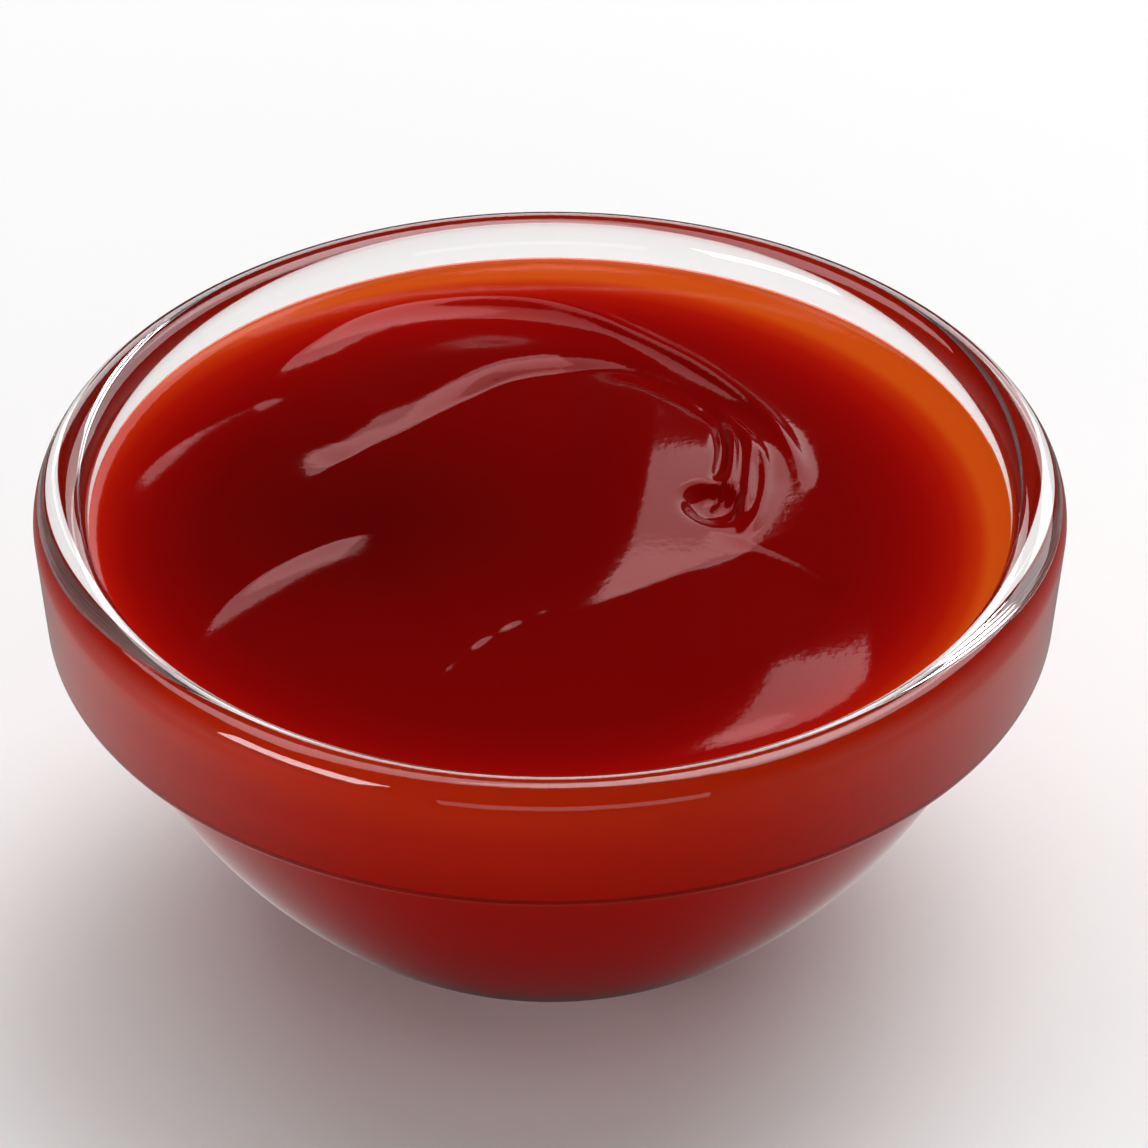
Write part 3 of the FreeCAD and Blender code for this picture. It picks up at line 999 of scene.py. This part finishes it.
def pale_floor():
    """Matt white, but mirrors in the glass and in the sauce see a dim glow in its place."""
    material, tree, output = shader_tree("pale_floor")
    paint = tree.nodes.new("ShaderNodeBsdfPrincipled")
    paint.inputs["Base Color"].default_value = (0.9, 0.9, 0.9, 1)
    paint.inputs["Roughness"].default_value = 0.8
    paint.inputs["Specular IOR Level"].default_value = 0.0
    place = tree.nodes.new("ShaderNodeTexCoord")
    x, y, _ = split(tree, place.outputs["Object"])
    dim = tree.nodes.new("ShaderNodeEmission")
    dim.inputs["Color"].default_value = mirror_colour
    glow = side_share(x, y) * mirror_at_side + mirror_least
    tree.links.new(glow.socket, dim.inputs["Strength"])
    path = tree.nodes.new("ShaderNodeLightPath")
    glossy = Number(tree, path.outputs["Is Glossy Ray"])
    mirrored = Number(tree, path.outputs["Glossy Depth"]).math("GREATER_THAN", 0.5)
    through = Number(tree, path.outputs["Is Transmission Ray"]) * mirrored.part_of()
    mix = tree.nodes.new("ShaderNodeMixShader")
    tree.links.new((glossy * through.part_of()).socket, mix.inputs[0])
    tree.links.new(paint.outputs[0], mix.inputs[1])
    tree.links.new(dim.outputs[0], mix.inputs[2])
    tree.links.new(mix.outputs[0], output.inputs["Surface"])
    return material


reach = 3.0
corners = [(-reach, -reach, 0), (reach, -reach, 0), (reach, reach, 0), (-reach, reach, 0)]
floor_mesh = bpy.data.meshes.new("floor")
floor_mesh.from_pydata(corners, [], [(0, 1, 2, 3)])
floor = bpy.data.objects.new("floor", floor_mesh)
floor.data.materials.append(pale_floor())
bpy.context.scene.collection.objects.link(floor)
print(f"floor: {2 * reach:.0f} m square")

# %% [markdown]
# ## The lamps
#
# One tall window stands behind and to the right and one wide one hangs high behind. A wet surface
# shows a lamp only where its slope turns the view to it: here slopes that face right find the
# tall window and slopes that face the viewer find the high one, and flat sauce shows neither. So
# the swirl is drawn by its slopes alone. A weak lamp in front fills the near side of the glass.
# A picture of a room would light it too, but three plain lamps are easier to turn and to follow.


# %% Soft lamps
def soft_lamp(name, azimuth, elevation, distance, width, height, power):
    """Area lamp that looks at the sauce. Azimuth is anticlockwise from +X."""
    data = bpy.data.lights.new(name, "AREA")
    data.shape = "RECTANGLE"
    data.size = width
    data.size_y = height
    data.energy = power
    lamp = bpy.data.objects.new(name, data)
    bpy.context.scene.collection.objects.link(lamp)
    turn = math.radians(azimuth)
    rise = math.radians(elevation)
    aim = Vector((0, 0, sauce_level))
    towards = Vector((math.cos(turn) * math.cos(rise), math.sin(turn) * math.cos(rise),
                      math.sin(rise)))
    lamp.location = aim + towards * distance
    lamp.rotation_euler = towards.to_track_quat("Z", "Y").to_euler()
    return lamp


soft_lamp("back_right_window", azimuth=60, elevation=48, distance=1.0,
          width=0.60, height=1.10, power=6.4)
soft_lamp("high_window", azimuth=100, elevation=64, distance=1.0,
          width=0.90, height=0.50, power=4.0)
soft_lamp("front_fill", azimuth=275, elevation=16, distance=1.2,
          width=1.2, height=0.35, power=1.7)

# %% [markdown]
# ## Lamps for the glass alone
#
# The back of the rim needs something low and bright behind it, or its edge is lost against the
# white, and a small lamp at the front left lays one short bright line along the rim. The same
# lamps would lie on the sauce as a pale veil. In a studio a card hides a lamp from all but the
# glass. Here light linking does it: such a lamp reaches the objects of one collection only.

# %% Lamps that only the glass catches
def for_glass_only(lamp):
    """Lets the lamp reach the glass and nothing else."""
    lamp.light_linking.receiver_collection = glass_collection


glass_collection = bpy.data.collections.new("lit_glass")
glass_collection.objects.link(bowl)
rim_back = soft_lamp("rim_back", azimuth=90, elevation=13, distance=1.0,
                     width=1.0, height=0.42, power=4.0)
rim_front_left = soft_lamp("rim_front_left", azimuth=212, elevation=36, distance=1.2,
                           width=0.66, height=0.36, power=8.0)
for_glass_only(rim_back)
for_glass_only(rim_front_left)
print(f"lamps for the glass alone: {rim_back.name}, {rim_front_left.name}")

# %% [markdown]
# ## The world
#
# The world is white to the camera and to rays that go straight through the glass, because that
# is the background. As a light it is much weaker, so that the sauce keeps its depth of colour, and
# mirrors see it nearly dark, with the same glow to the sides as the floor. A world is usually
# sampled like a lamp too; that would skip these choices, so it is left to chance hits.


# %% The world
seen_strength = 1.0
light_strength = 0.33
dark_strength = 0.02
side_strength = 0.7
side_fade = 1.4


def background(tree, strength):
    """An even white glow."""
    node = tree.nodes.new("ShaderNodeBackground")
    node.inputs["Color"].default_value = (1, 1, 1, 1)
    node.inputs["Strength"].default_value = strength
    return node


def mixed(tree, factor, first, second):
    """The first shader where the factor is 0 and the second where it is 1."""
    node = tree.nodes.new("ShaderNodeMixShader")
    tree.links.new(factor, node.inputs[0])
    tree.links.new(first.outputs[0], node.inputs[1])
    tree.links.new(second.outputs[0], node.inputs[2])
    return node


def studio_world():
    """White to look at, a weak light, and dark to mirrors."""
    world = bpy.data.worlds.new("studio")
    world.use_nodes = True
    tree = world.node_tree
    tree.nodes.clear()
    white = background(tree, seen_strength)
    fill = background(tree, light_strength)
    dark = background(tree, dark_strength)
    place = tree.nodes.new("ShaderNodeTexCoord")
    x, y, z = split(tree, place.outputs["Generated"])
    low = (z * side_fade).clamped().part_of()
    strength = side_share(x, y) * low * side_strength + dark_strength
    tree.links.new(strength.socket, dark.inputs["Strength"])

    path = tree.nodes.new("ShaderNodeLightPath")
    straight = Number(tree, path.outputs["Glossy Depth"]).math("LESS_THAN", 0.5)
    seen = Number(tree, path.outputs["Is Camera Ray"]).math(
        "MAXIMUM", Number(tree, path.outputs["Is Transmission Ray"]) * straight)
    light = mixed(tree, path.outputs["Is Glossy Ray"], fill, dark)
    glow = mixed(tree, seen.socket, light, white)
    output = tree.nodes.new("ShaderNodeOutputWorld")
    tree.links.new(glow.outputs[0], output.inputs["Surface"])
    world.cycles.sampling_method = "NONE"
    return world


bpy.context.scene.world = studio_world()
bpy.context.scene.view_settings.view_transform = "Standard"
print(f"world: {len(bpy.context.scene.world.node_tree.nodes)} nodes")

# %% [markdown]
# ## Long paths inside the rim
#
# At the sides the view runs along the rim, and a ray that gets in there is turned back by the
# surface many times before it leaves. With too few turns allowed Blender gives up and the rim goes
# black. With more it finds the thin lines of red and white that real glass has.

# %% Turns that light may take
rim_bounces = 36
cycles = bpy.context.scene.cycles
cycles.max_bounces = rim_bounces
cycles.transmission_bounces = rim_bounces
cycles.glossy_bounces = rim_bounces
print(f"light may bounce {rim_bounces} times inside the rim")

# %% [markdown]
# ## The camera
#
# The camera looks down at a little over 35 degrees from a metre away, with a long lens, so the
# rim is an ellipse that is almost the same size in front and behind. An orthographic camera would
# come close, but the long lens keeps the little that the near side is larger.

# %% The camera
camera_elevation = math.radians(35.54)
camera_distance = 0.994
view_width = 83.3 * MM
aside = 1.74 * MM
above = -4.42 * MM
camera_data = bpy.data.cameras.new("camera")
camera_data.lens = camera_data.sensor_width * camera_distance / view_width
camera_data.clip_start = 0.01
camera = bpy.data.objects.new("camera", camera_data)
bpy.context.scene.collection.objects.link(camera)
back = Vector((0, -math.cos(camera_elevation), math.sin(camera_elevation)))
up = Vector((0, math.sin(camera_elevation), math.cos(camera_elevation)))
aim = Vector((aside, 0, rim_level)) + up * above
camera.location = aim + back * camera_distance
camera.rotation_euler = back.to_track_quat("Z", "Y").to_euler()
bpy.context.scene.camera = camera

print(f"lens {camera_data.lens:.0f} mm")
